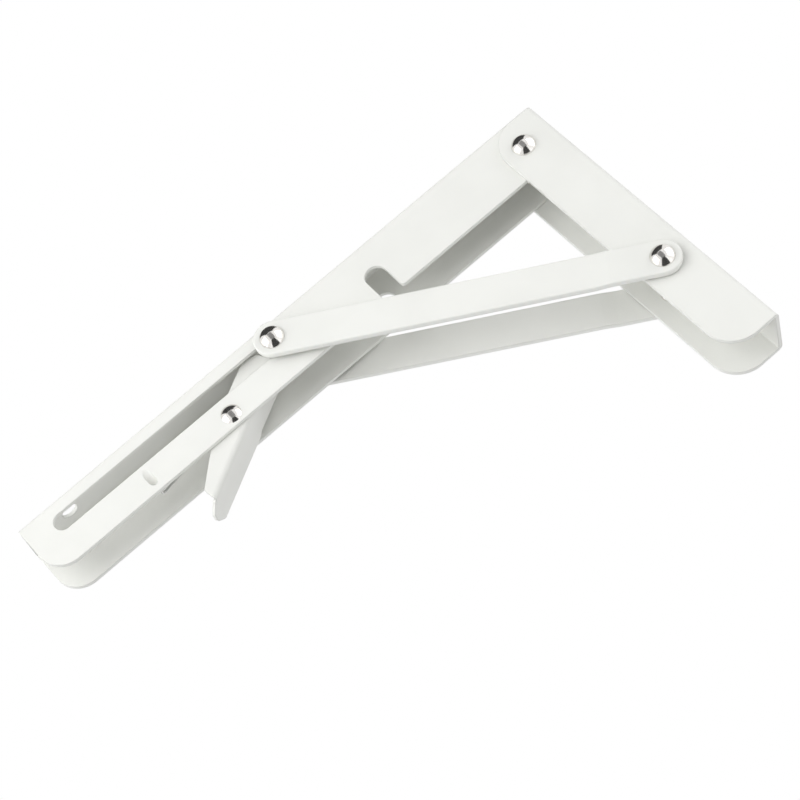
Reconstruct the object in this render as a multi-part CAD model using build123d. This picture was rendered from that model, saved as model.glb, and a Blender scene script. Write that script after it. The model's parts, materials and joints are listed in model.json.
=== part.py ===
"""Folding shelf bracket with a release lever.

Row frame: +X runs out from the wall, +Y across the bracket, +Z up.
The origin is the middle screw hole of the wall leg, on the wall plane.
All sizes are in millimetres.
"""
import math
import os

from build123d import *

os.makedirs("parts", exist_ok=True)

# ---- clearances ----
run_fit = 0.05          # radial play of a shank that turns in its hole
slide_fit = 0.20        # play of the sliding pin on each side of its slot
side_gap = 0.30         # between the nested legs, each side
face_gap = 0.10         # between stacked faces that move on each other
fold_gap = 0.20         # between the folded shelf leg and the wall leg's web
cut_over = 5.0          # how far cutting tools run past what they cut

# ---- wall leg, the outer channel ----
wall_sheet = 2.0
wall_bend_r = 2.5       # outside radius of the bends
wall_depth = 27.5       # from the wall plane to the open edges
wall_top_drop = 2.75    # top end below the shelf face
wall_length = 160.25
wall_corner_r = 15.0
wall_hole_d = 8.0
wall_hole_pitch = 50.0
wall_hole_first = 35.25     # top end of the leg to the first hole

# ---- shelf leg, the inner channel ----
leg_sheet = 2.0
leg_bend_r = 2.5
leg_width = 25.0
leg_depth = 31.0
leg_end_x = 300.0       # free end, from the wall plane
leg_root_gap = 1.0      # web of the wall leg to the hinge end
leg_corner_r = 12.5
leg_hole_d = 8.0
leg_hole_pitch = 120.0
leg_hole_inset = 23.4   # free end to the first hole

# ---- hinge rivets ----
hinge_drop = 16.9       # hinge axis below the shelf face
hinge_shank_d = 6.0
hinge_tail_d = 9.4

# ---- brace pivots ----
pivot_step = 91.3       # hinge axis down to the lower brace pivot
pivot_inset = 1.0       # lower pivot nearer to the wall than the hinge axis
pivot_shank_d = 6.0
pivot_tail_d = 8.8
pivot_washer_t = 0.9
pivot_washer_d = 13.0

# ---- sliding pins ----
slot_drop = 11.5        # slot centre line below the shelf face
slide_rest_x = 161.0    # sliding pin in the open bracket
slide_shank_d = 8.4
slide_tail_d = 10.0
slide_washer_t = 2.5
slide_washer_d = 13.0
slot_end_gap = 0.25     # left at each end of the pin's travel

# ---- rivet heads ----
head_d = 11.6
head_h = 4.0
tail_h = 1.5
tail_rim_r = 1.1        # rounding of the riveted tails

# ---- brace arms ----
arm_thick = 3.0
arm_width = 17.4
joggle_start = 24.0     # from the lower pivot to the start of the joggle
joggle_run = 7.0
arm_edge_r = 0.8        # rounding of the outer edges

# ---- notch for the pivot tails ----
notch_play = 0.55       # half the extra width, for the tails' arc
notch_gap = 0.35
notch_mouth_r = 1.5

# ---- release lever ----
lever_sheet = 1.5
lever_bend_r = 2.2      # outside radius between the web and the cheeks
lever_pivot_step = 35.9     # sliding pin at rest to the lever pivot
lever_pivot_drop = 24.74
lever_pin_d = 5.0
lever_pin_head_d = 9.5
lever_pin_head_h = 2.1
lever_lean = 29.2       # handle below the level, in degrees
lever_web_drop = 8.15   # pivot axis to the outside of the web
lever_side_gap = 0.3    # handle to the inside of the shelf leg, each side
lever_nose_w = 17.0
lever_nose_gap = 0.4    # nose to the tails of the sliding pins
lever_joggle_s = -4.2   # start of the step from the nose to the handle
lever_joggle_run = 1.6
lever_cheek_top = 7.1
lever_fall_s = 2.0      # from here the cheeks fall toward the end of the handle
lever_end_top = -1.9
lever_end_s = 37.2
lever_end_slant = 2.2
lever_corner_r = 1.6
lever_nose_drop = 5.0   # chamfer at the top of the nose
lever_tab_reach = 44.3
lever_tab_tip_w = 4.4
lever_tab_tip_r = 3.0

# ---- lever spring ----
spring_wire_d = 1.2
spring_mean_r = 3.75
spring_turns = 3.0
spring_pitch = 1.35
spring_start_y = -1.2
spring_short_leg = 15.0
spring_hook_r = 1.4     # centre line of the hook at the tooth

# ---- pressed tooth that holds the long spring leg ----
tooth_step = 45.0       # lever pivot to the tooth
tooth_top_drop = 18.5
tooth_end_drop = 26.1   # shelf face to the centre of the ball end
tooth_r = 2.1           # radius of the pressed hollow
tooth_depth = 1.6       # hollow below the inside of the sheet
tooth_skin = 0.9        # sheet left round the pressed hollow

# ---- levels and places that follow from the sizes ----
shelf_z = wall_top_drop + wall_hole_first + wall_hole_pitch
leg_half = leg_width / 2
leg_in = leg_half - leg_sheet
wall_in = leg_half + side_gap
wall_out = wall_in + wall_sheet
wall_top_z = shelf_z - wall_top_drop
wall_bottom_z = wall_top_z - wall_length
leg_edge_z = shelf_z - leg_depth
hinge_z = shelf_z - hinge_drop
leg_root_r = leg_depth - hinge_drop
hinge_x = wall_sheet + fold_gap + leg_root_r
leg_root_x = wall_sheet + leg_root_gap
pivot_x = hinge_x - pivot_inset
pivot_z = hinge_z - pivot_step
slot_z = shelf_z - slot_drop
arm_dx = slide_rest_x - pivot_x
arm_dz = slot_z - pivot_z
arm_length = math.hypot(arm_dx, arm_dz)
arm_rise = math.degrees(math.atan2(arm_dz, arm_dx))
fold_dz = slot_z - (hinge_z - pivot_inset)
slide_far_x = hinge_x + pivot_step + math.sqrt(arm_length ** 2 - fold_dz ** 2)
arm_in = leg_half + slide_washer_t + 2 * face_gap
arm_out = arm_in + arm_thick
pivot_in = wall_out + pivot_washer_t + 2 * face_gap
joggle = pivot_in - arm_in
pivot_out = pivot_in + arm_thick
slot_w = slide_shank_d + 2 * slide_fit
slot_start_x = slide_rest_x + slide_fit - slot_end_gap
slot_stop_x = slide_far_x - slide_fit + slot_end_gap
lever_pivot_x = slide_rest_x + lever_pivot_step
lever_z = shelf_z - lever_pivot_drop
lever_half = leg_in - lever_side_gap
lever_flat_half = lever_half - lever_bend_r
tooth_x = lever_pivot_x + tooth_step


def side_block(shape, y_low, y_high):
    """A sketch on the XZ plane, given thickness from y_low to y_high."""
    level = Plane(origin=(0, y_low, 0), x_dir=(1, 0, 0), z_dir=(0, -1, 0))
    return extrude(level * shape, amount=y_high - y_low, dir=(0, 1, 0))


def pin_y(x, z, r, y_low, y_high):
    """A cylinder along Y."""
    level = Plane(origin=(x, y_low, z), x_dir=(1, 0, 0), z_dir=(0, 1, 0))
    return extrude(level * Circle(r), amount=y_high - y_low, dir=(0, 1, 0))


def dome_y(x, z, r, h, y_base, side):
    """A round rivet head that stands on y_base and points to side."""
    sphere_r = (r * r + h * h) / (2 * h)
    centre = y_base + side * (h - sphere_r)
    ball = Pos(x, centre, z) * Sphere(sphere_r)
    low = y_base if side > 0 else y_base - h - cut_over
    keep = pin_y(x, z, r + cut_over, low, low + h + cut_over)
    return ball & keep


def tail_y(x, z, r, y_base):
    """A riveted tail that stands on y_base and points toward the middle."""
    tail = pin_y(x, z, r, y_base - tail_h, y_base)
    rim = tail.edges().filter_by(GeomType.CIRCLE).sort_by(Axis.Y)[0]
    return fillet(rim, tail_rim_r)


def outer_rim(solid):
    """The edges round the faces that look away from the middle, without the creases between them."""
    faces = solid.faces().filter_by(lambda f: f.normal_at().Y > 0.5)
    edges = [e for f in faces for e in f.edges()]
    return [e for e in edges if sum(e.is_same(other) for other in edges) == 1]


def both(solid):
    """The same shape on the other side of the bracket."""
    return mirror(solid, about=Plane.XZ)


def save(shape, node):
    shape.label = node
    export_step(shape, f"parts/{node}.step")


def channel(width, depth, sheet, bend_r):
    """Cross-section of a U channel: web on the Y axis, open toward +local y."""
    outer = Polygon(
        (-width / 2, 0), (width / 2, 0), (width / 2, depth), (-width / 2, depth), align=None
    )
    inner_w = width / 2 - sheet
    inner = Polygon(
        (-inner_w, sheet), (inner_w, sheet), (inner_w, depth + cut_over), (-inner_w, depth + cut_over),
        align=None,
    )
    outer = fillet(outer.vertices().filter_by(lambda v: v.Y < depth / 2), bend_r)
    inner = fillet(inner.vertices().filter_by(lambda v: v.Y < depth / 2), bend_r - sheet)
    return outer - inner


# ---------------------------------------------------------------- wall leg
wall_level = Plane(origin=(0, 0, wall_top_z), x_dir=(0, 1, 0), z_dir=(0, 0, -1))
wall_leg = extrude(
    wall_level * channel(2 * wall_out, wall_depth, wall_sheet, wall_bend_r),
    amount=wall_length,
    dir=(0, 0, -1),
)
wall_side = Polygon(
    (0, wall_top_z), (wall_depth, wall_top_z), (wall_depth, wall_bottom_z), (0, wall_bottom_z),
    align=None,
)
wall_side = fillet(wall_side.vertices().filter_by(lambda v: v.X > wall_depth / 2), wall_corner_r)
wall_leg = wall_leg & side_block(wall_side, -wall_out - cut_over, wall_out + cut_over)
for step in (-1, 0, 1):
    drill = Plane(origin=(-cut_over, 0, step * wall_hole_pitch), x_dir=(0, 1, 0), z_dir=(1, 0, 0))
    wall_leg = wall_leg - extrude(
        drill * Circle(wall_hole_d / 2), amount=2 * cut_over, dir=(1, 0, 0)
    )
wall_leg = wall_leg - pin_y(
    hinge_x, hinge_z, hinge_shank_d / 2, -wall_out - cut_over, wall_out + cut_over
)
wall_leg = wall_leg - pin_y(
    pivot_x, pivot_z, pivot_shank_d / 2, -wall_out - cut_over, wall_out + cut_over
)

# ---------------------------------------------------------------- shelf leg
leg_level = Plane(origin=(leg_root_x, 0, shelf_z), x_dir=(0, -1, 0), z_dir=(1, 0, 0))
shelf_leg = extrude(
    leg_level * channel(leg_width, leg_depth, leg_sheet, leg_bend_r),
    amount=leg_end_x - leg_root_x,
    dir=(1, 0, 0),
)
root_dx = hinge_x - leg_root_x
root_z = hinge_z - math.sqrt(leg_root_r ** 2 - root_dx ** 2)
root_turn = math.atan2(hinge_z - root_z, root_dx)
root_half = (root_turn + math.pi / 2) / 2
leg_face = make_face(
    [
        Edge.make_line((leg_root_x, shelf_z), (leg_end_x, shelf_z)),
        Edge.make_line((leg_end_x, shelf_z), (leg_end_x, leg_edge_z + leg_corner_r)),
        Edge.make_three_point_arc(
            (leg_end_x, leg_edge_z + leg_corner_r),
            (
                leg_end_x - leg_corner_r * (1 - math.sqrt(0.5)),
                leg_edge_z + leg_corner_r * (1 - math.sqrt(0.5)),
            ),
            (leg_end_x - leg_corner_r, leg_edge_z),
        ),
        Edge.make_line((leg_end_x - leg_corner_r, leg_edge_z), (hinge_x, leg_edge_z)),
        Edge.make_three_point_arc(
            (hinge_x, leg_edge_z),
            (
                hinge_x - leg_root_r * math.cos(root_half),
                hinge_z - leg_root_r * math.sin(root_half),
            ),
            (leg_root_x, root_z),
        ),
        Edge.make_line((leg_root_x, root_z), (leg_root_x, shelf_z)),
    ]
)
shelf_leg = shelf_leg & side_block(leg_face, -leg_half - cut_over, leg_half + cut_over)

slot_len = slot_stop_x - slot_start_x
slot_mid = (slot_stop_x + slot_start_x) / 2
slot_shape = Pos(slot_mid, slot_z) * SlotCenterToCenter(slot_len, slot_w)
shelf_leg = shelf_leg - side_block(slot_shape, -leg_half - cut_over, leg_half + cut_over)

notch_r = pivot_tail_d / 2 + notch_gap + notch_play
notch_x = hinge_x + pivot_step - notch_play
notch_z = hinge_z - pivot_inset - notch_play
notch_shape = Pos(notch_x, notch_z) * Circle(notch_r)
notch_low = leg_edge_z - cut_over
notch_shape = notch_shape + Polygon(
    (notch_x - notch_r, notch_z), (notch_x + notch_r, notch_z),
    (notch_x + notch_r, notch_low), (notch_x - notch_r, notch_low), align=None,
)
shelf_leg = shelf_leg - side_block(notch_shape, -leg_half - cut_over, leg_half + cut_over)
mouth = shelf_leg.edges().filter_by(Axis.Y).filter_by(
    lambda e: abs(e.center().Z - leg_edge_z) < 0.01 and abs(e.center().X - notch_x) < notch_r + 0.1
)
shelf_leg = fillet(mouth, notch_mouth_r)

for step in (0, 1, 2):
    hole_x = leg_end_x - leg_hole_inset - step * leg_hole_pitch
    shelf_leg = shelf_leg - Pos(hole_x, 0, shelf_z) * Cylinder(leg_hole_d / 2, 2 * cut_over)
shelf_leg = shelf_leg - pin_y(
    hinge_x, hinge_z, hinge_shank_d / 2 + run_fit, -leg_half - cut_over, leg_half + cut_over
)
shelf_leg = shelf_leg - pin_y(
    lever_pivot_x, lever_z, lever_pin_d / 2, -leg_half - cut_over, leg_half + cut_over
)

# the tooth: a ball-ended hollow pressed into the right side, deepest at its lower end
tooth_start = Vector(tooth_x, leg_half + tooth_r, shelf_z - tooth_top_drop)
tooth_end = Vector(tooth_x, leg_in - tooth_depth + tooth_r, shelf_z - tooth_end_drop)
tooth_run = tooth_end - tooth_start


def ball_groove(r):
    """A round bar along the tooth with a ball at its deep end."""
    bar = extrude(Plane(origin=tooth_start, z_dir=tooth_run) * Circle(r), amount=tooth_run.length)
    return bar + Pos(*tooth_end) * Sphere(r)


bump = ball_groove(tooth_r + tooth_skin) & side_block(leg_face, 0, leg_half)
shelf_leg = (shelf_leg + bump) - ball_groove(tooth_r)

# ---------------------------------------------------------------- rivets
hinge_tail_y = leg_in - run_fit
hinge_rivet = (
    dome_y(hinge_x, hinge_z, head_d / 2, head_h, wall_out, 1)
    + pin_y(hinge_x, hinge_z, hinge_shank_d / 2, hinge_tail_y, wall_out)
    + tail_y(hinge_x, hinge_z, hinge_tail_d / 2, hinge_tail_y)
)
brace_rivet_tail = pin_y(pivot_x, pivot_z, pivot_shank_d / 2, wall_in, wall_out) + tail_y(
    pivot_x, pivot_z, pivot_tail_d / 2, wall_in
)
brace_rivet_head = dome_y(pivot_x, pivot_z, head_d / 2, head_h, pivot_out, 1) + pin_y(
    pivot_x, pivot_z, pivot_shank_d / 2, wall_out + face_gap, pivot_out
)
slide_tail_y = leg_in - face_gap
slide_head_y = arm_out + face_gap
slide_pin = (
    dome_y(slide_rest_x, slot_z, head_d / 2, head_h, slide_head_y, 1)
    + pin_y(slide_rest_x, slot_z, slide_shank_d / 2, slide_tail_y, slide_head_y)
    + tail_y(slide_rest_x, slot_z, slide_tail_d / 2, slide_tail_y)
)

# ---------------------------------------------------------------- washers
slide_washer = pin_y(
    slide_rest_x, slot_z, slide_washer_d / 2, leg_half + face_gap, arm_in - face_gap
) - pin_y(slide_rest_x, slot_z, slide_shank_d / 2, leg_half, arm_in)
brace_washer = pin_y(
    pivot_x, pivot_z, pivot_washer_d / 2, wall_out + face_gap, pivot_in - face_gap
) - pin_y(pivot_x, pivot_z, pivot_shank_d / 2, wall_out, pivot_in)

# ---------------------------------------------------------------- brace arms
# drawn along local x from the lower pivot, with local z across the bracket
arm_frame = Plane(
    origin=(pivot_x, 0, pivot_z),
    x_dir=(math.cos(math.radians(arm_rise)), 0, math.sin(math.radians(arm_rise))),
    z_dir=(0, -1, 0),
)
half_w = arm_width / 2
ribbon_plane = Plane(
    origin=arm_frame.origin - arm_frame.y_dir * half_w, x_dir=arm_frame.x_dir, z_dir=arm_frame.y_dir
)
across = 1 if ribbon_plane.y_dir.Y > 0 else -1
ribbon = ribbon_plane * Polygon(
    (-half_w - cut_over, across * pivot_in),
    (joggle_start, across * pivot_in),
    (joggle_start + joggle_run, across * arm_in),
    (arm_length + half_w + cut_over, across * arm_in),
    (arm_length + half_w + cut_over, across * arm_out),
    (joggle_start + joggle_run, across * arm_out),
    (joggle_start, across * pivot_out),
    (-half_w - cut_over, across * pivot_out),
    align=None,
)
ribbon = extrude(ribbon, amount=arm_width, dir=arm_frame.y_dir)
outline = arm_frame * (Pos(arm_length / 2, 0) * SlotCenterToCenter(arm_length, arm_width))
outline = extrude(outline, amount=2 * pivot_out, both=True)
brace_arm = ribbon & outline
brace_arm = fillet(outer_rim(brace_arm), arm_edge_r)
brace_arm = brace_arm - pin_y(
    slide_rest_x, slot_z, slide_shank_d / 2 + run_fit, arm_in - cut_over, arm_out + cut_over
)
brace_arm = brace_arm - pin_y(
    pivot_x, pivot_z, pivot_shank_d / 2, pivot_in - cut_over, pivot_out + cut_over
)

# ---------------------------------------------------------------- release lever
lean = math.radians(lever_lean)
lever_s = Vector(math.cos(lean), 0, -math.sin(lean))
lever_h = Vector(math.sin(lean), 0, math.cos(lean))
lever_origin = Vector(lever_pivot_x, 0, lever_z)
web_low = -lever_web_drop
# the sliding pins' place along the handle's direction
pin_s = (slide_rest_x - lever_pivot_x) * lever_s.X + (slot_z - lever_z) * lever_s.Z
nose_s = pin_s + slide_tail_d / 2 + lever_nose_gap
# local x along the handle, local y away from the web
lever_side = Plane(origin=lever_origin, x_dir=lever_s, z_dir=(0, -1, 0))
# local x along the handle, local y across it
web_plane = Plane(origin=lever_origin + lever_h * web_low, x_dir=lever_s, z_dir=lever_h)


def lever_trough(inset):
    """A block over the lever's plan, rounded along the web; inset shrinks it by the sheet."""
    nose = lever_nose_w / 2 - inset
    wide = lever_half - inset
    right = [
        (nose_s - cut_over, nose), (lever_joggle_s, nose),
        (lever_joggle_s + lever_joggle_run, wide), (lever_tab_reach + cut_over, wide),
    ]
    left = [(s, -y) for s, y in reversed(right)]
    level = Plane(origin=web_plane.origin + lever_h * inset, x_dir=lever_s, z_dir=lever_h)
    plan = level * Polygon(*right, *left, align=None)
    block = extrude(plan, amount=lever_cheek_top - web_low, dir=lever_h)
    floor = block.faces().sort_by(lambda f: (f.center() - lever_origin).dot(lever_h))[0]
    bends = floor.edges().filter_by(lambda e: abs((e @ 1 - e @ 0).dot(lever_s)) > 1)
    return fillet(bends, lever_bend_r - inset)


lever_face = Polygon(
    (nose_s, web_low), (lever_end_s + lever_end_slant, web_low), (lever_end_s, lever_end_top),
    (lever_fall_s, lever_cheek_top), (nose_s + lever_nose_drop, lever_cheek_top),
    (nose_s, lever_cheek_top - lever_nose_drop), align=None,
)
lever_face = fillet(lever_face.vertices().filter_by(lambda v: v.Y > web_low / 2), lever_corner_r)
release_lever = lever_trough(0) - lever_trough(lever_sheet)
release_lever = release_lever & extrude(lever_side * lever_face, amount=leg_width, both=True)
tab = Polygon(
    (lever_end_s - cut_over, lever_flat_half), (lever_end_s, lever_flat_half),
    (lever_tab_reach, lever_tab_tip_w / 2), (lever_tab_reach, -lever_tab_tip_w / 2),
    (lever_end_s, -lever_flat_half), (lever_end_s - cut_over, -lever_flat_half), align=None,
)
tab = fillet(tab.vertices().filter_by(lambda v: v.X > lever_end_s), lever_tab_tip_r)
release_lever = release_lever + extrude(web_plane * tab, amount=lever_sheet, dir=lever_h)
release_lever = release_lever - pin_y(
    lever_pivot_x, lever_z, lever_pin_d / 2 + run_fit, -leg_half - cut_over, leg_half + cut_over
)

# ---------------------------------------------------------------- lever pin
lever_pin = (
    pin_y(lever_pivot_x, lever_z, lever_pin_d / 2, -leg_half, leg_half)
    + dome_y(lever_pivot_x, lever_z, lever_pin_head_d / 2, lever_pin_head_h, leg_half, 1)
    + dome_y(lever_pivot_x, lever_z, lever_pin_head_d / 2, lever_pin_head_h, -leg_half, -1)
)

# ---------------------------------------------------------------- lever spring
wire_r = spring_wire_d / 2
# the long leg leaves the top of the coil and hooks under the tooth
hook_dx = tooth_x - lever_pivot_x
hook_dz = tooth_end.Z - tooth_r - tooth_skin - wire_r - face_gap - lever_z
hook_reach = math.hypot(hook_dx, hook_dz)
long_turn = math.atan2(hook_dz, hook_dx) + math.acos(spring_mean_r / hook_reach)
long_run = math.sqrt(hook_reach ** 2 - spring_mean_r ** 2)
# the short leg leaves the bottom of the coil and lies on the lever's web
rest_h = -lever_web_drop + lever_sheet + wire_r + run_fit
rest_reach = math.hypot(spring_short_leg, rest_h)
short_turn = math.atan2(rest_h, spring_short_leg) - math.acos(spring_mean_r / rest_reach) - lean
short_run = math.sqrt(rest_reach ** 2 - spring_mean_r ** 2)
coil_turn = 2 * math.pi * (spring_turns + 1) + short_turn - long_turn
coil_rise = spring_pitch * coil_turn / (2 * math.pi)
coil_slope = spring_pitch / (2 * math.pi * spring_mean_r)
coil_frame = Plane(
    origin=(lever_pivot_x, spring_start_y, lever_z),
    x_dir=(math.cos(short_turn), 0, math.sin(short_turn)),
    z_dir=(0, 1, 0),
)
coil = coil_frame * Helix(pitch=spring_pitch, height=coil_rise, radius=spring_mean_r)
# both legs run on in line with the coil's wire, so they lean across by its slope
short_tip_y = spring_start_y - short_run * coil_slope
short_tip = lever_origin + lever_s * spring_short_leg + lever_h * rest_h + Vector(0, short_tip_y, 0)
hook_y = spring_start_y + coil_rise + long_run * coil_slope
hook_z = lever_z + hook_dz
hook_corner = Vector(tooth_x, hook_y, hook_z)
hook_tip = Vector(tooth_x, leg_in - face_gap, hook_z)
short_leg = Line(short_tip, coil @ 0)
long_leg = FilletPolyline(coil @ 1, hook_corner, hook_tip, radius=spring_hook_r)
spring_line = Wire([*short_leg.edges(), *coil.edges(), *long_leg.edges()])
spring_section = Plane(origin=spring_line @ 0, z_dir=spring_line % 0) * Circle(wire_r)
lever_spring = sweep(spring_section, path=spring_line)

# ---------------------------------------------------------------- one file for each piece
save(wall_leg, "wall_leg")
save(shelf_leg, "shelf_leg")
save(release_lever, "release_lever")
save(lever_pin, "lever_pin")
save(lever_spring, "lever_spring")
for side, flip in (("right", False), ("left", True)):
    for shape, node in (
        (brace_arm, "brace_arm"),
        (hinge_rivet, "hinge_rivet"),
        (brace_rivet_tail, "brace_rivet_tail"),
        (brace_rivet_head, "brace_rivet_head"),
        (slide_pin, "slide_pin"),
        (slide_washer, "slide_washer"),
        (brace_washer, "brace_washer"),
    ):
        piece = both(shape) if flip else shape
        save(piece, f"{node}_{side}")
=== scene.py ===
"""Finishes, lever end, spring, studio and camera for a folding shelf bracket."""
import json
import math

import bmesh
import bpy
from bpy.props import FloatProperty, FloatVectorProperty, PointerProperty
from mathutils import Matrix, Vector


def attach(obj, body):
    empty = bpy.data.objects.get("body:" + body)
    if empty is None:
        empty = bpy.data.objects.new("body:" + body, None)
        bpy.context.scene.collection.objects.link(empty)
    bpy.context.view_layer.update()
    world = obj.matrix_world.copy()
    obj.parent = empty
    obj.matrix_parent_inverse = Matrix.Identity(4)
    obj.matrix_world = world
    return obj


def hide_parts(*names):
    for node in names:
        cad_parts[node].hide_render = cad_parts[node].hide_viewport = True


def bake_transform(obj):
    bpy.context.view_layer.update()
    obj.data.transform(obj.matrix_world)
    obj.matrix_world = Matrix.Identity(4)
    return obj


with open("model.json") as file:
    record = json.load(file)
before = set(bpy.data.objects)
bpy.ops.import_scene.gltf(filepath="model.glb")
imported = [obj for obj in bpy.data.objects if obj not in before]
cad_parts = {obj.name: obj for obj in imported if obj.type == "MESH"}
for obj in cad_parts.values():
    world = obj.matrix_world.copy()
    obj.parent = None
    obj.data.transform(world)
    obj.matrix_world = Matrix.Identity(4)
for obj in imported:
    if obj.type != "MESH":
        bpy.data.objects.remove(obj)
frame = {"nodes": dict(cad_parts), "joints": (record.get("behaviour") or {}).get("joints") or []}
NODES = frame["nodes"]
JOINTS = {joint["name"]: joint for joint in frame["joints"]}
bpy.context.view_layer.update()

bl_info = {
    "name": "Folding Shelf Bracket",
    "version": (1, 0, 0),
    "blender": (4, 5, 0),
    "location": "View3D > Sidebar > Bracket",
    "description": "Powder coat, plating and studio for a folding shelf bracket",
    "category": "Object",
}

COATED = (
    "wall_leg", "shelf_leg",
    "brace_arm_left", "brace_arm_right",
    "release_lever", "lever_pressing",
)
PLATED = (
    "hinge_rivet_left", "hinge_rivet_right",
    "brace_rivet_head_left", "brace_rivet_head_right",
    "brace_rivet_tail_left", "brace_rivet_tail_right",
    "slide_pin_left", "slide_pin_right",
    "lever_pin",
)
ZINCED = (
    "slide_washer_left", "slide_washer_right",
    "brace_washer_left", "brace_washer_right",
)
DRAWN = ("lever_spring", "torsion_spring")

# release lever at rest, in metres: its pivot, its slant and its two directions
LEVER_PIVOT = Vector(JOINTS["lever_release"]["pos_m"])
LEVER_LEAN = math.radians(29.2)
LEVER_ALONG = Vector((math.cos(LEVER_LEAN), 0.0, -math.sin(LEVER_LEAN)))
LEVER_LIFT = Vector((math.sin(LEVER_LEAN), 0.0, math.cos(LEVER_LEAN)))
LEVER_WIDTH = 0.0204        # over both cheeks
LEVER_BEND = 0.0022         # outside radius between web and cheek
LEVER_SHEET = 0.0015
LEVER_WEB_DROP = 0.00815    # pivot down to the web's outer face

# rounding of the finger tab
TAB_START = 0.030           # pivot to where the tab's blank begins on the web
TRIM_START = -0.04          # the trimming outline begins behind the nose
TRIM_ROOM = 0.002           # room that it leaves beside the cheeks
TRIM_HEIGHT = 0.012         # how far it reaches above and below the pivot
ARC_STEPS = 8

# studio, in metres
FLOOR_HALF = 4.0            # half the side of the square floor
LAMP_TARGET = Vector((0.15, 0.0, 0.013))


# ------------------------------------------------------------------ settings
class CoatSettings(bpy.types.PropertyGroup):
    """Look of the baked powder coat."""

    colour: FloatVectorProperty(
        name="Colour", description="Colour of the powder coat",
        subtype="COLOR", size=3, min=0.0, max=1.0, default=(0.87, 0.875, 0.84),
    )
    thin_colour: FloatVectorProperty(
        name="Thin coat colour", description="Colour where the powder lies thin",
        subtype="COLOR", size=3, min=0.0, max=1.0, default=(0.83, 0.835, 0.80),
    )
    roughness: FloatProperty(
        name="Roughness", description="Roughness of the cured coat",
        subtype="FACTOR", min=0.0, max=1.0, default=0.38,
    )
    peel: FloatProperty(
        name="Peel height", description="Height of the fine waves in the cured coat",
        subtype="DISTANCE", unit="LENGTH", min=0.0, max=0.001, default=0.00003,
    )
    edge_radius: FloatProperty(
        name="Edge radius", description="Radius that the coat gives to a cut edge",
        subtype="DISTANCE", unit="LENGTH", min=0.0, max=0.002, default=0.0008,
    )


class LeverSettings(bpy.types.PropertyGroup):
    """Rounded end of the release lever."""

    tip_reach: FloatProperty(
        name="Tip reach", description="Lever pivot to the end of the finger tab",
        subtype="DISTANCE", unit="LENGTH", default=0.0444,
    )
    shoulder_reach: FloatProperty(
        name="Shoulder reach", description="Lever pivot to where the cheeks run into the tab",
        subtype="DISTANCE", unit="LENGTH", default=0.0386,
    )
    tip_width: FloatProperty(
        name="Tip width", description="Width of the finger tab at its end, before rounding",
        subtype="DISTANCE", unit="LENGTH", default=0.0052,
    )
    tip_radius: FloatProperty(
        name="Tip radius", description="Rounding of the finger tab's corners",
        subtype="DISTANCE", unit="LENGTH", default=0.0030,
    )


class PlatingSettings(bpy.types.PropertyGroup):
    """Look of the bright plated rivets, the washers and the spring wire."""

    nickel: FloatVectorProperty(
        name="Nickel", description="Colour of the polished plating",
        subtype="COLOR", size=3, min=0.0, max=1.0, default=(0.84, 0.82, 0.79),
    )
    zinc: FloatVectorProperty(
        name="Zinc", description="Colour of the zinc on the washers",
        subtype="COLOR", size=3, min=0.0, max=1.0, default=(0.60, 0.61, 0.62),
    )
    wire: FloatVectorProperty(
        name="Spring wire", description="Colour of the drawn spring wire",
        subtype="COLOR", size=3, min=0.0, max=1.0, default=(0.58, 0.58, 0.57),
    )
    polish: FloatProperty(
        name="Polish", description="Roughness left on the rivet heads",
        subtype="FACTOR", min=0.0, max=1.0, default=0.13,
    )
    zinc_polish: FloatProperty(
        name="Zinc polish", description="Roughness of the washers",
        subtype="FACTOR", min=0.0, max=1.0, default=0.3,
    )
    wire_polish: FloatProperty(
        name="Wire polish", description="Roughness of the drawn spring wire",
        subtype="FACTOR", min=0.0, max=1.0, default=0.32,
    )


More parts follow.
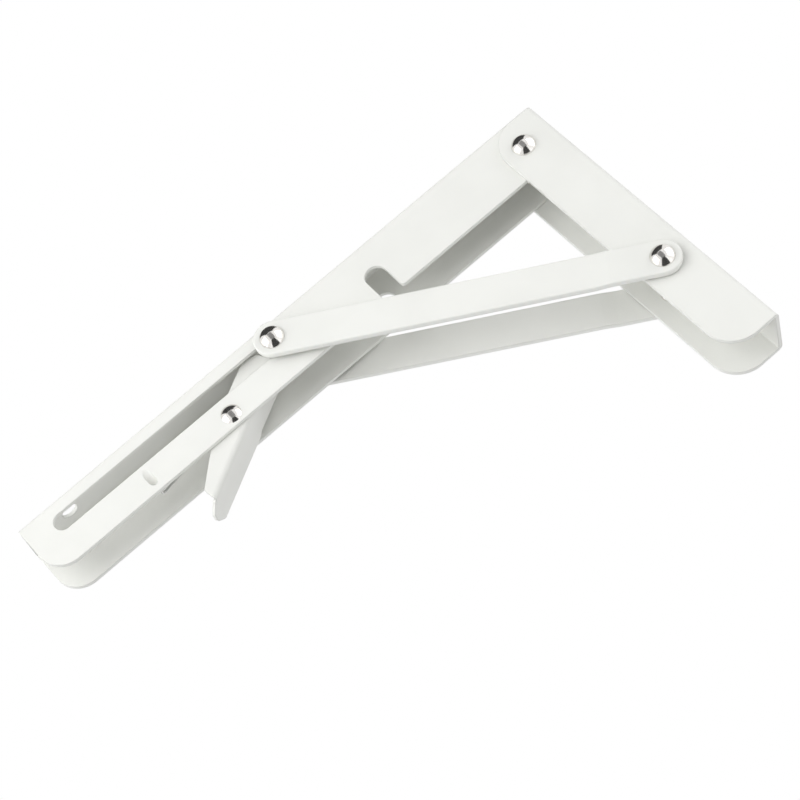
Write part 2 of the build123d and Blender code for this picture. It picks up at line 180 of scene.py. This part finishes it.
class StudioSettings(bpy.types.PropertyGroup):
    """Floor, lamps and camera."""

    floor_level: FloatProperty(
        name="Floor level", description="Height of the studio floor",
        subtype="DISTANCE", unit="LENGTH", default=-1.3,
    )
    floor_colour: FloatVectorProperty(
        name="Floor colour", description="Colour of the studio floor",
        subtype="COLOR", size=3, min=0.0, max=1.0, default=(0.86, 0.86, 0.86),
    )
    floor_lift: FloatProperty(
        name="Floor lift", description="Glow that lifts the floor toward the backdrop's white",
        min=0.0, max=1.0, default=0.55,
    )
    sky: FloatProperty(
        name="Fill", description="Strength of the even light from all round",
        min=0.0, max=2.0, default=0.49,
    )
    front_power: FloatProperty(
        name="Front softbox", description="Power of the softbox in front, toward the free end",
        unit="POWER", min=0.0, default=7.5,
    )
    outer_power: FloatProperty(
        name="Outer softbox", description="Power of the softbox beyond the free end of the shelf leg",
        unit="POWER", min=0.0, default=7.0,
    )
    wall_power: FloatProperty(
        name="Wall softbox", description="Power of the softbox on the wall's side",
        unit="POWER", min=0.0, default=8.4,
    )
    upper_power: FloatProperty(
        name="Upper softbox", description="Power of the softbox above and in front of the bracket",
        unit="POWER", min=0.0, default=4.4,
    )
    back_power: FloatProperty(
        name="Back softbox", description="Power of the softbox on the far side of the bracket",
        unit="POWER", min=0.0, default=5.5,
    )
    front_grey: FloatProperty(
        name="Front card", description="Brightness of the card that polished heads mirror in front",
        min=0.0, max=1.0, default=0.30,
    )
    edge_grey: FloatProperty(
        name="Edge cards", description="Brightness of the cards mirrored above and below",
        min=0.0, max=1.0, default=0.06,
    )
    lens: FloatProperty(
        name="Lens", description="Focal length of the camera on a 36 mm frame",
        subtype="DISTANCE_CAMERA", min=1.0, default=107.13,
    )
    eye: FloatVectorProperty(
        name="Eye", description="Place of the camera",
        subtype="TRANSLATION", unit="LENGTH", size=3, default=(0.3214, 0.8947, -0.4832),
    )
    azimuth: FloatProperty(
        name="Azimuth", description="Direction of the camera round the bracket, from +Y toward +X",
        subtype="ANGLE", unit="ROTATION", default=math.radians(11.61),
    )
    elevation: FloatProperty(
        name="Elevation", description="Height angle of the camera",
        subtype="ANGLE", unit="ROTATION", default=math.radians(-28.87),
    )
    roll: FloatProperty(
        name="Roll", description="Turn of the camera about its own axis",
        subtype="ANGLE", unit="ROTATION", default=math.radians(46.13),
    )


# ------------------------------------------------------------------ materials
def new_material(name):
    """A fresh node material: itself, its tree, its principled shader and its coordinates."""
    material = bpy.data.materials.new(name)
    material.use_nodes = True
    tree = material.node_tree
    tree.nodes.clear()
    out = tree.nodes.new("ShaderNodeOutputMaterial")
    out.location = (700, 0)
    shader = tree.nodes.new("ShaderNodeBsdfPrincipled")
    shader.location = (400, 0)
    tree.links.new(shader.outputs["BSDF"], out.inputs["Surface"])
    coords = tree.nodes.new("ShaderNodeTexCoord")
    coords.location = (-900, 0)
    return material, tree, shader, coords


def add_noise(tree, coords, scale, detail, at):
    """Noise in the piece's own coordinates."""
    noise = tree.nodes.new("ShaderNodeTexNoise")
    noise.inputs["Scale"].default_value = scale
    noise.inputs["Detail"].default_value = detail
    noise.location = at
    tree.links.new(coords.outputs["Object"], noise.inputs["Vector"])
    return noise


def add_ramp(tree, source, low, high, at):
    """Colour ramp between two stops, each a place on the ramp and its colour."""
    ramp = tree.nodes.new("ShaderNodeValToRGB")
    ramp.location = at
    ramp.color_ramp.elements[0].position = low[0]
    ramp.color_ramp.elements[0].color = (*low[1], 1.0)
    ramp.color_ramp.elements[1].position = high[0]
    ramp.color_ramp.elements[1].color = (*high[1], 1.0)
    tree.links.new(source, ramp.inputs["Fac"])
    return ramp


def grey(level):
    """Colour with three equal parts."""
    return (level, level, level)


def powder_coat(coat):
    """White powder coat: slightly uneven, with the fine waves of a cured coat."""
    material, tree, shader, coords = new_material("white_powder_coat")
    shader.inputs["IOR"].default_value = 1.48

    drift = add_noise(tree, coords, scale=26.0, detail=3.0, at=(-650, 250))
    thin = (0.30, tuple(coat.thin_colour))
    full = (0.62, tuple(coat.colour))
    colour = add_ramp(tree, drift.outputs["Fac"], thin, full, at=(-350, 250))
    tree.links.new(colour.outputs["Color"], shader.inputs["Base Color"])

    sheen = add_noise(tree, coords, scale=120.0, detail=2.0, at=(-650, 0))
    smooth = (0.3, grey(coat.roughness - 0.05))
    dull = (0.7, grey(coat.roughness + 0.06))
    gloss = add_ramp(tree, sheen.outputs["Fac"], smooth, dull, at=(-350, 0))
    tree.links.new(gloss.outputs["Color"], shader.inputs["Roughness"])

    waves = add_noise(tree, coords, scale=900.0, detail=2.0, at=(-650, -250))
    rounded = tree.nodes.new("ShaderNodeBevel")
    rounded.samples = 6
    rounded.location = (-150, -450)
    rounded.inputs["Radius"].default_value = coat.edge_radius
    bump = tree.nodes.new("ShaderNodeBump")
    bump.location = (100, -250)
    bump.inputs["Strength"].default_value = 0.35
    bump.inputs["Distance"].default_value = coat.peel
    tree.links.new(rounded.outputs["Normal"], bump.inputs["Normal"])
    tree.links.new(waves.outputs["Fac"], bump.inputs["Height"])
    tree.links.new(bump.outputs["Normal"], shader.inputs["Normal"])
    return material


def bright_metal(name, colour, polish, mark_scale):
    """Metal with cloudy tarnish and faint handling marks; mark_scale is how fine the marks are."""
    material, tree, shader, coords = new_material(name)
    shader.inputs["Metallic"].default_value = 1.0

    cloud = add_noise(tree, coords, scale=400.0, detail=3.0, at=(-650, 250))
    tarnished = (0.3, tuple(0.88 * part for part in colour))
    clean = (0.6, tuple(colour))
    tint = add_ramp(tree, cloud.outputs["Fac"], tarnished, clean, at=(-350, 250))
    tree.links.new(tint.outputs["Color"], shader.inputs["Base Color"])

    marks = add_noise(tree, coords, scale=mark_scale, detail=5.0, at=(-650, 0))
    smooth = (0.35, grey(max(0.02, polish - 0.04)))
    rubbed = (0.7, grey(polish + 0.06))
    gloss = add_ramp(tree, marks.outputs["Fac"], smooth, rubbed, at=(-350, 0))
    tree.links.new(gloss.outputs["Color"], shader.inputs["Roughness"])
    return material


def dress(names, material):
    """Give every listed piece the material, also a solid that another piece stands for."""
    for name in names:
        piece = bpy.data.objects[name]
        piece.data.materials.clear()
        piece.data.materials.append(material)


# ------------------------------------------------------------------ lever end and spring
def copy_of(node, name):
    """A piece with the mesh of a solid, which it stands for, so that it can be shaped further."""
    piece = bpy.data.objects.new(name, NODES[node].data.copy())
    bpy.context.scene.collection.objects.link(piece)
    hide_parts(node)
    return piece


def lever_prism(name, outline, low, high):
    """Closed prism over an outline along and across the lever; low and high count from the pivot."""
    count = len(outline)
    verts = [
        LEVER_PIVOT + LEVER_ALONG * along + Vector((0.0, across, 0.0)) + LEVER_LIFT * level
        for level in (low, high) for along, across in outline
    ]
    faces = [tuple(reversed(range(count))), tuple(range(count, 2 * count))]
    faces += [(i, (i + 1) % count, (i + 1) % count + count, i + count) for i in range(count)]
    mesh = bpy.data.meshes.new(name)
    mesh.from_pydata(verts, [], faces)
    solid = bmesh.new()
    solid.from_mesh(mesh)
    bmesh.ops.recalc_face_normals(solid, faces=solid.faces)
    solid.to_mesh(mesh)
    solid.free()
    prism = bpy.data.objects.new(name, mesh)
    bpy.context.scene.collection.objects.link(prism)
    return prism


def join_solid(target, tool, operation):
    """Boolean the tool into the target's mesh, then drop the tool."""
    step = target.modifiers.new(tool.name, "BOOLEAN")
    step.object = tool
    step.operation = operation
    step.solver = "EXACT"
    depsgraph = bpy.context.evaluated_depsgraph_get()
    result = bpy.data.meshes.new_from_object(target.evaluated_get(depsgraph))
    target.modifiers.clear()
    target.data = result
    bpy.data.objects.remove(tool)


def tab_outline(end, half):
    """Plan of the lever: square at the nose, narrowed and rounded at the finger tab."""
    corner = Vector((end.tip_reach, end.tip_width / 2))
    shoulder = Vector((end.shoulder_reach, half))
    slope = (shoulder - corner).normalized()
    turn = math.pi / 2 - math.atan2(slope.y, -slope.x)
    back = end.tip_radius * math.tan(turn / 2)
    centre = Vector((corner.x - end.tip_radius, corner.y - back))
    angles = [i * turn / ARC_STEPS for i in range(ARC_STEPS + 1)]
    arc = [centre + end.tip_radius * Vector((math.cos(a), math.sin(a))) for a in angles]
    clear = half + TRIM_ROOM
    side = [(TRIM_START, clear), (end.shoulder_reach - TRIM_ROOM, clear), tuple(shoulder)]
    side += [tuple(point) for point in reversed(arc)]
    return side + [(along, -across) for along, across in reversed(side)]


# ------------------------------------------------------------------ studio
def background_rays(tree):
    """Socket that is 1 for camera, glossy and transmission rays, which show the background."""
    rays = tree.nodes.new("ShaderNodeLightPath")
    either = tree.nodes.new("ShaderNodeMath")
    either.operation = "MAXIMUM"
    glassy = tree.nodes.new("ShaderNodeMath")
    glassy.operation = "MAXIMUM"
    tree.links.new(rays.outputs["Is Camera Ray"], either.inputs[0])
    tree.links.new(rays.outputs["Is Glossy Ray"], either.inputs[1])
    tree.links.new(either.outputs["Value"], glassy.inputs[0])
    tree.links.new(rays.outputs["Is Transmission Ray"], glassy.inputs[1])
    return glassy.outputs["Value"]


def flat_sheet(name, half_x, half_y):
    """Mesh of one flat rectangle about its centre."""
    mesh = bpy.data.meshes.new(name)
    corners = [(-half_x, -half_y, 0), (half_x, -half_y, 0), (half_x, half_y, 0), (-half_x, half_y, 0)]
    mesh.from_pydata(corners, [], [(0, 1, 2, 3)])
    return mesh


def build_floor(studio):
    """Plain pale floor, lifted toward the backdrop's white for the rays that show the background."""
    mesh = flat_sheet("studio_floor", FLOOR_HALF, FLOOR_HALF)
    floor = bpy.data.objects.new("studio_floor", mesh)
    floor.location.z = studio.floor_level
    bpy.context.scene.collection.objects.link(floor)
    material = bpy.data.materials.new("studio_floor")
    material.use_nodes = True
    tree = material.node_tree
    shader = tree.nodes["Principled BSDF"]
    shader.inputs["Base Color"].default_value = (*studio.floor_colour, 1.0)
    shader.inputs["Roughness"].default_value = 0.8
    shader.inputs["Emission Color"].default_value = (1.0, 1.0, 1.0, 1.0)
    lift = tree.nodes.new("ShaderNodeMath")
    lift.operation = "MULTIPLY"
    lift.inputs[1].default_value = studio.floor_lift
    tree.links.new(background_rays(tree), lift.inputs[0])
    tree.links.new(lift.outputs["Value"], shader.inputs["Emission Strength"])
    mesh.materials.append(material)


def build_world(scene, studio):
    """Even fill light, with a white backdrop for the rays that show the background."""
    world = bpy.data.worlds.new("studio_world")
    scene.world = world
    world.use_nodes = True
    tree = world.node_tree
    tree.nodes.clear()
    out = tree.nodes.new("ShaderNodeOutputWorld")
    fill = tree.nodes.new("ShaderNodeBackground")
    fill.inputs["Color"].default_value = (1.0, 1.0, 1.0, 1.0)
    fill.inputs["Strength"].default_value = studio.sky
    backdrop = tree.nodes.new("ShaderNodeBackground")
    backdrop.inputs["Color"].default_value = (1.0, 1.0, 1.0, 1.0)
    backdrop.inputs["Strength"].default_value = 1.0
    mix = tree.nodes.new("ShaderNodeMixShader")
    tree.links.new(background_rays(tree), mix.inputs["Fac"])
    tree.links.new(fill.outputs["Background"], mix.inputs[1])
    tree.links.new(backdrop.outputs["Background"], mix.inputs[2])
    tree.links.new(mix.outputs["Shader"], out.inputs["Surface"])


def soft_lamp(name, place, size, power, mirrored):
    """Square area lamp that points at the bracket; mirrored says whether polished heads show it."""
    data = bpy.data.lights.new(name, "AREA")
    data.shape = "SQUARE"
    data.size = size
    data.energy = power
    lamp = bpy.data.objects.new(name, data)
    lamp.location = place
    lamp.rotation_euler = (LAMP_TARGET - Vector(place)).to_track_quat("-Z", "Y").to_euler()
    lamp.visible_glossy = mirrored
    bpy.context.scene.collection.objects.link(lamp)


def mirror_card(name, place, facing, width, height, level):
    """Studio card that only polished metal and the sheen of the coat see."""
    mesh = flat_sheet(name, width / 2, height / 2)
    card = bpy.data.objects.new(name, mesh)
    card.location = place
    card.rotation_euler = Vector(facing).to_track_quat("Z", "Y").to_euler()
    bpy.context.scene.collection.objects.link(card)
    material = bpy.data.materials.new(name)
    material.use_nodes = True
    tree = material.node_tree
    tree.nodes.clear()
    out = tree.nodes.new("ShaderNodeOutputMaterial")
    glow = tree.nodes.new("ShaderNodeEmission")
    glow.inputs["Color"].default_value = (*grey(level), 1.0)
    glow.inputs["Strength"].default_value = 1.0
    tree.links.new(glow.outputs["Emission"], out.inputs["Surface"])
    mesh.materials.append(material)
    card.visible_camera = False
    card.visible_diffuse = False
    card.visible_transmission = False
    card.visible_volume_scatter = False
    card.visible_shadow = False


def build_camera(scene, studio):
    """Camera below and beside the bracket, rolled so that the legs run diagonally."""
    flat = math.cos(studio.elevation)
    back = Vector((
        math.sin(studio.azimuth) * flat, math.cos(studio.azimuth) * flat, math.sin(studio.elevation),
    ))
    level = Vector((0.0, 0.0, 1.0)).cross(back).normalized()
    upright = back.cross(level)
    right = math.cos(studio.roll) * level - math.sin(studio.roll) * upright
    up = math.sin(studio.roll) * level + math.cos(studio.roll) * upright
    data = bpy.data.cameras.new("studio_camera")
    data.sensor_width = 36.0
    data.lens = studio.lens
    data.clip_start = 0.01
    camera = bpy.data.objects.new("studio_camera", data)
    turn = camera.matrix_world.to_3x3()
    turn.col[0], turn.col[1], turn.col[2] = right, up, back
    camera.rotation_euler = turn.to_euler()
    camera.location = studio.eye
    scene.collection.objects.link(camera)
    scene.camera = camera


# ------------------------------------------------------------------ operators
class BRACKET_OT_coat(bpy.types.Operator):
    """Powder coat the legs, the brace arms and the release lever"""

    bl_idname = "bracket.coat"
    bl_label = "Coat Pressed Parts"

    def execute(self, context):
        dress(COATED, powder_coat(context.scene.bracket_coat))
        return {"FINISHED"}


class BRACKET_OT_lever(bpy.types.Operator):
    """Run the cheeks of the release lever into its finger tab in one rounded outline"""

    bl_idname = "bracket.lever"
    bl_label = "Round Lever End"

    def execute(self, context):
        end = context.scene.bracket_lever
        pressing = copy_of("release_lever", "lever_pressing")
        half = LEVER_WIDTH / 2
        flat = half - LEVER_BEND
        web = [(TAB_START, -flat), (end.tip_reach, -flat), (end.tip_reach, flat), (TAB_START, flat)]
        tab = lever_prism("tab_blank", web, -LEVER_WEB_DROP, LEVER_SHEET - LEVER_WEB_DROP)
        join_solid(pressing, tab, "UNION")
        trim = lever_prism("tab_trim", tab_outline(end, half), -TRIM_HEIGHT, TRIM_HEIGHT)
        join_solid(pressing, trim, "INTERSECT")
        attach(pressing, "lever")
        return {"FINISHED"}


class BRACKET_OT_rivets(bpy.types.Operator):
    """Plate the rivets and the lever pin"""

    bl_idname = "bracket.rivets"
    bl_label = "Plate Rivets"

    def execute(self, context):
        plating = context.scene.bracket_plating
        nickel = bright_metal("polished_nickel", plating.nickel, plating.polish, mark_scale=1500.0)
        dress(PLATED, nickel)
        return {"FINISHED"}


class BRACKET_OT_washers(bpy.types.Operator):
    """Zinc plate the washers between the arms and the legs"""

    bl_idname = "bracket.washers"
    bl_label = "Plate Washers"

    def execute(self, context):
        plating = context.scene.bracket_plating
        zinc = bright_metal("zinc_plate", plating.zinc, plating.zinc_polish, mark_scale=700.0)
        dress(ZINCED, zinc)
        return {"FINISHED"}


class BRACKET_OT_spring(bpy.types.Operator):
    """Finish the lever spring as drawn wire"""

    bl_idname = "bracket.spring"
    bl_label = "Finish Spring"

    def execute(self, context):
        plating = context.scene.bracket_plating
        spring = copy_of("lever_spring", "torsion_spring")
        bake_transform(spring)
        wire = bright_metal("spring_wire", plating.wire, plating.wire_polish, mark_scale=2500.0)
        dress(DRAWN, wire)
        return {"FINISHED"}


class BRACKET_OT_stage(bpy.types.Operator):
    """Set up the floor, the soft lamps, the world and the camera"""

    bl_idname = "bracket.stage"
    bl_label = "Set Up Studio"

    def execute(self, context):
        studio = context.scene.bracket_studio
        build_floor(studio)
        build_world(context.scene, studio)
        soft_lamp(
            "front_softbox", place=(0.95, 1.25, 0.20), size=1.0,
            power=studio.front_power, mirrored=False,
        )
        soft_lamp(
            "upper_softbox", place=(0.70, 1.00, 1.00), size=1.0,
            power=studio.upper_power, mirrored=False,
        )
        soft_lamp(
            "back_softbox", place=(0.10, -1.50, 0.35), size=1.2,
            power=studio.back_power, mirrored=False,
        )
        soft_lamp(
            "outer_softbox", place=(1.45, 0.50, 0.35), size=1.5,
            power=studio.outer_power, mirrored=True,
        )
        soft_lamp(
            "wall_softbox", place=(-1.25, 0.55, -0.15), size=1.5,
            power=studio.wall_power, mirrored=True,
        )
        mirror_card(
            "front_card", place=(0.13, 1.35, 0.15), facing=(0, -1, 0),
            width=0.95, height=1.7, level=studio.front_grey,
        )
        mirror_card(
            "upper_card", place=(-0.10, 0.30, 1.00), facing=(0, 0, -1),
            width=1.5, height=1.8, level=studio.edge_grey,
        )
        mirror_card(
            "lower_card", place=(0.30, 0.60, -0.58), facing=(0, 0, 1),
            width=0.8, height=1.8, level=studio.edge_grey,
        )
        build_camera(context.scene, studio)
        context.scene.view_settings.view_transform = "Standard"
        return {"FINISHED"}


OPERATORS = (
    BRACKET_OT_lever, BRACKET_OT_coat, BRACKET_OT_rivets,
    BRACKET_OT_washers, BRACKET_OT_spring, BRACKET_OT_stage,
)


# ------------------------------------------------------------------ panel
class BRACKET_PT_panel(bpy.types.Panel):
    """Sidebar panel with every piece of the bracket"""

    bl_idname = "BRACKET_PT_panel"
    bl_label = "Folding Shelf Bracket"
    bl_space_type = "VIEW_3D"
    bl_region_type = "UI"
    bl_category = "Bracket"

    def draw(self, context):
        column = self.layout.column()
        for operator in OPERATORS:
            column.operator(operator.bl_idname)


SETTINGS = (LeverSettings, CoatSettings, PlatingSettings, StudioSettings)
CLASSES = SETTINGS + OPERATORS + (BRACKET_PT_panel,)


# ------------------------------------------------------------------ registration
def register():
    """Register the settings, the operators and the panel."""
    for cls in CLASSES:
        bpy.utils.register_class(cls)
    bpy.types.Scene.bracket_lever = PointerProperty(type=LeverSettings)
    bpy.types.Scene.bracket_coat = PointerProperty(type=CoatSettings)
    bpy.types.Scene.bracket_plating = PointerProperty(type=PlatingSettings)
    bpy.types.Scene.bracket_studio = PointerProperty(type=StudioSettings)


def unregister():
    """Take back what register added."""
    del bpy.types.Scene.bracket_studio
    del bpy.types.Scene.bracket_plating
    del bpy.types.Scene.bracket_coat
    del bpy.types.Scene.bracket_lever
    for cls in reversed(CLASSES):
        bpy.utils.unregister_class(cls)


def main():
    """Dress the bracket and set up the studio."""
    register()
    bpy.ops.bracket.lever()
    bpy.ops.bracket.coat()
    bpy.ops.bracket.rivets()
    bpy.ops.bracket.washers()
    bpy.ops.bracket.spring()
    bpy.ops.bracket.stage()


if __name__ == "__main__":
    main()
